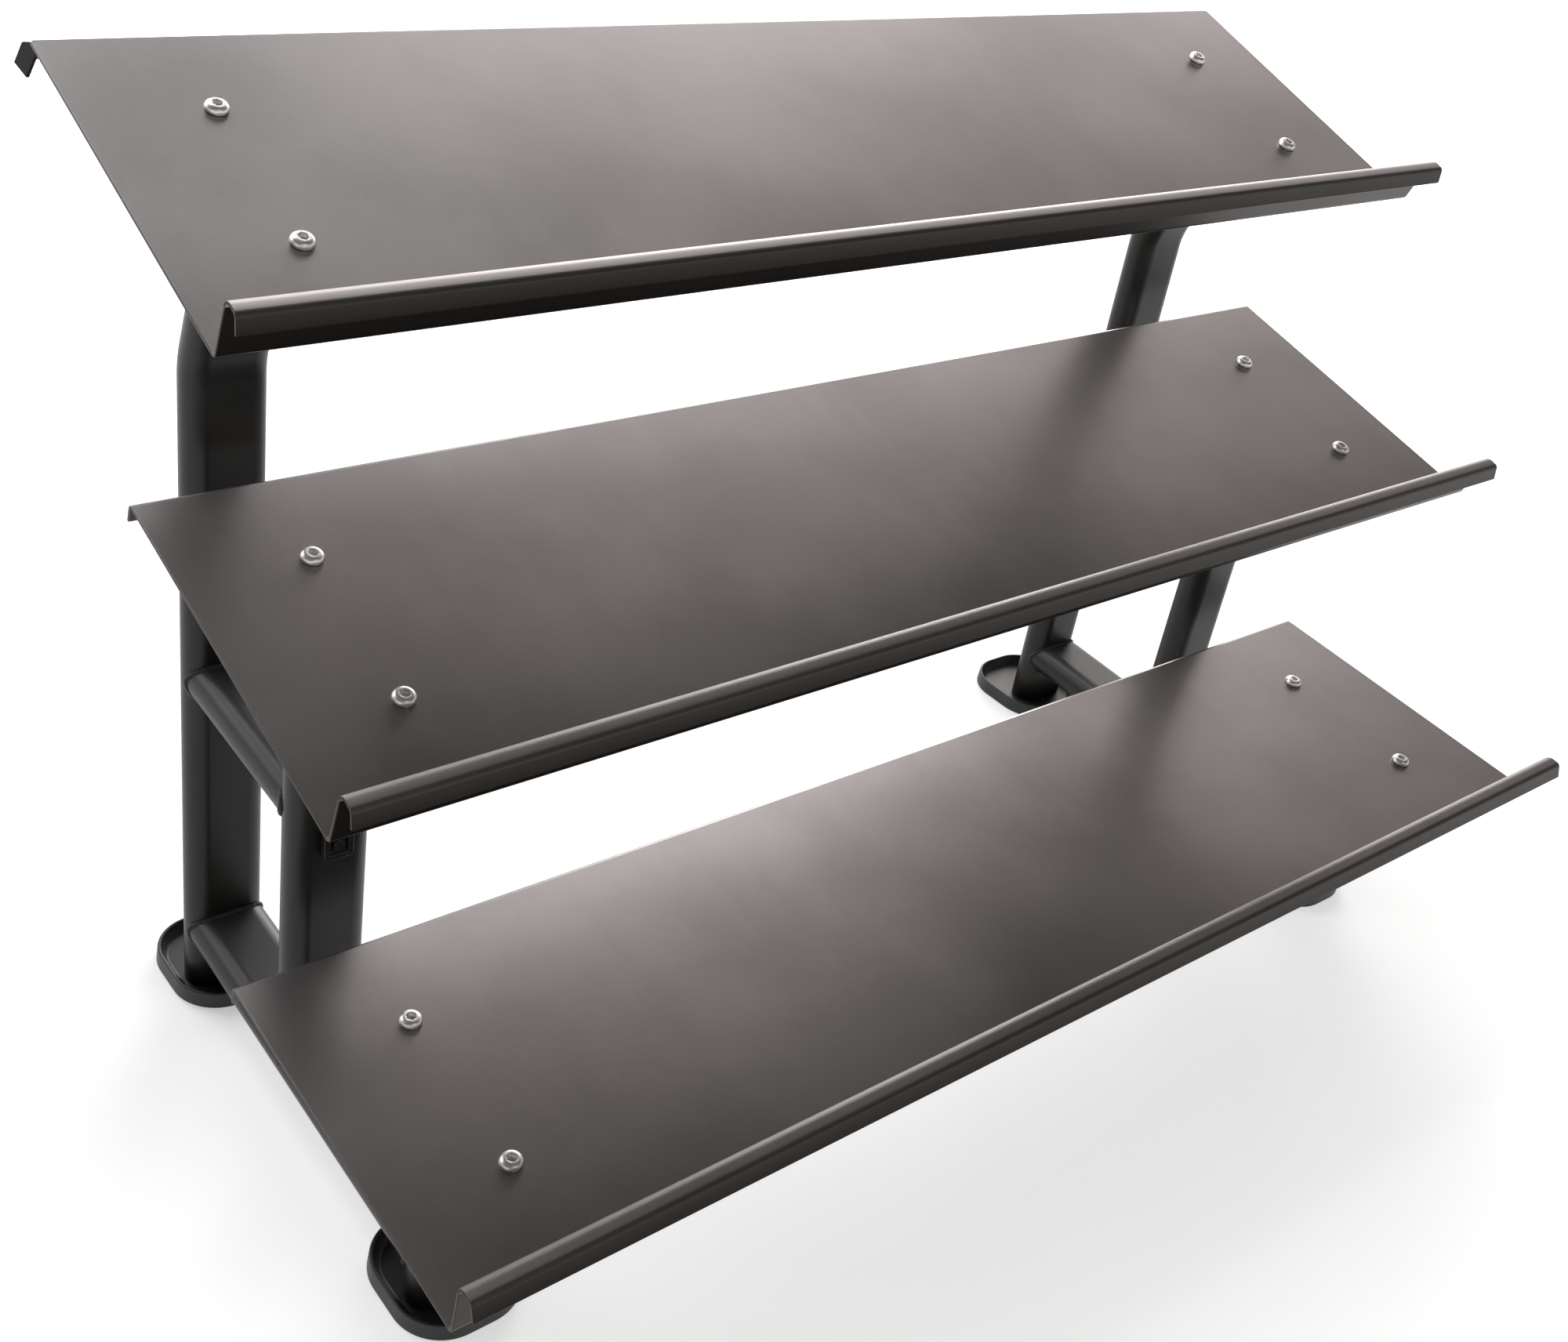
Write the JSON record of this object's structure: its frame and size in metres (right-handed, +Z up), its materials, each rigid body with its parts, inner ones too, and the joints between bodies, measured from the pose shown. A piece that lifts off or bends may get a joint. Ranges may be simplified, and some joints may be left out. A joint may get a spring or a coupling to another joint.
{
  "type": "dumbbell rack",
  "caption": "Freestanding dumbbell rack: sloped folded-steel shelves with front lips, bolted to welded side frames of bent flat-oval tube on dished rubber feet.",
  "frame": {"origin": "on the floor, under the middle of the rack's width and depth", "axes": "+X along the shelves, to the right seen from the front; +Y to the rear, where the shelves rise; +Z up"},
  "size_m": [1.5, 0.8374, 0.9602],
  "materials": {
    "shelf_paint": "satin charcoal powder coat",
    "frame_paint": "satin black powder coat",
    "zinc": "bright zinc plate",
    "rubber": "matt black moulded rubber"
  },
  "bodies": {
    "root": {"lower_shelf": "shelf_paint", "lower_channel_left": "frame_paint", "bolt_lower_left_front": "zinc", "nut_lower_left_front": "zinc", "bolt_lower_left_rear": "zinc", "nut_lower_left_rear": "zinc", "lower_channel_right": "frame_paint", "bolt_lower_right_front": "zinc", "nut_lower_right_front": "zinc", "bolt_lower_right_rear": "zinc", "nut_lower_right_rear": "zinc", "middle_shelf": "shelf_paint", "middle_channel_left": "frame_paint", "bolt_middle_left_front": "zinc", "nut_middle_left_front": "zinc", "bolt_middle_left_rear": "zinc", "nut_middle_left_rear": "zinc", "middle_channel_right": "frame_paint", "bolt_middle_right_front": "zinc", "nut_middle_right_front": "zinc", "bolt_middle_right_rear": "zinc", "nut_middle_right_rear": "zinc", "top_shelf": "shelf_paint", "top_channel_left": "frame_paint", "top_end_plate_left": "frame_paint", "bolt_top_left_front": "zinc", "nut_top_left_front": "zinc", "bolt_top_left_rear": "zinc", "nut_top_left_rear": "zinc", "top_channel_right": "frame_paint", "top_end_plate_right": "frame_paint", "bolt_top_right_front": "zinc", "nut_top_right_front": "zinc", "bolt_top_right_rear": "zinc", "nut_top_right_rear": "zinc", "front_post_left": "frame_paint", "middle_post_left": "frame_paint", "rear_post_left": "frame_paint", "base_rail_left": "frame_paint", "middle_rail_left": "frame_paint", "front_foot_left": "rubber", "rear_foot_left": "rubber", "front_post_right": "frame_paint", "middle_post_right": "frame_paint", "rear_post_right": "frame_paint", "base_rail_right": "frame_paint", "middle_rail_right": "frame_paint", "front_foot_right": "rubber", "rear_foot_right": "rubber", "hook_plate": "frame_paint", "hook_screw": "frame_paint"}
  },
  "joints": []
}
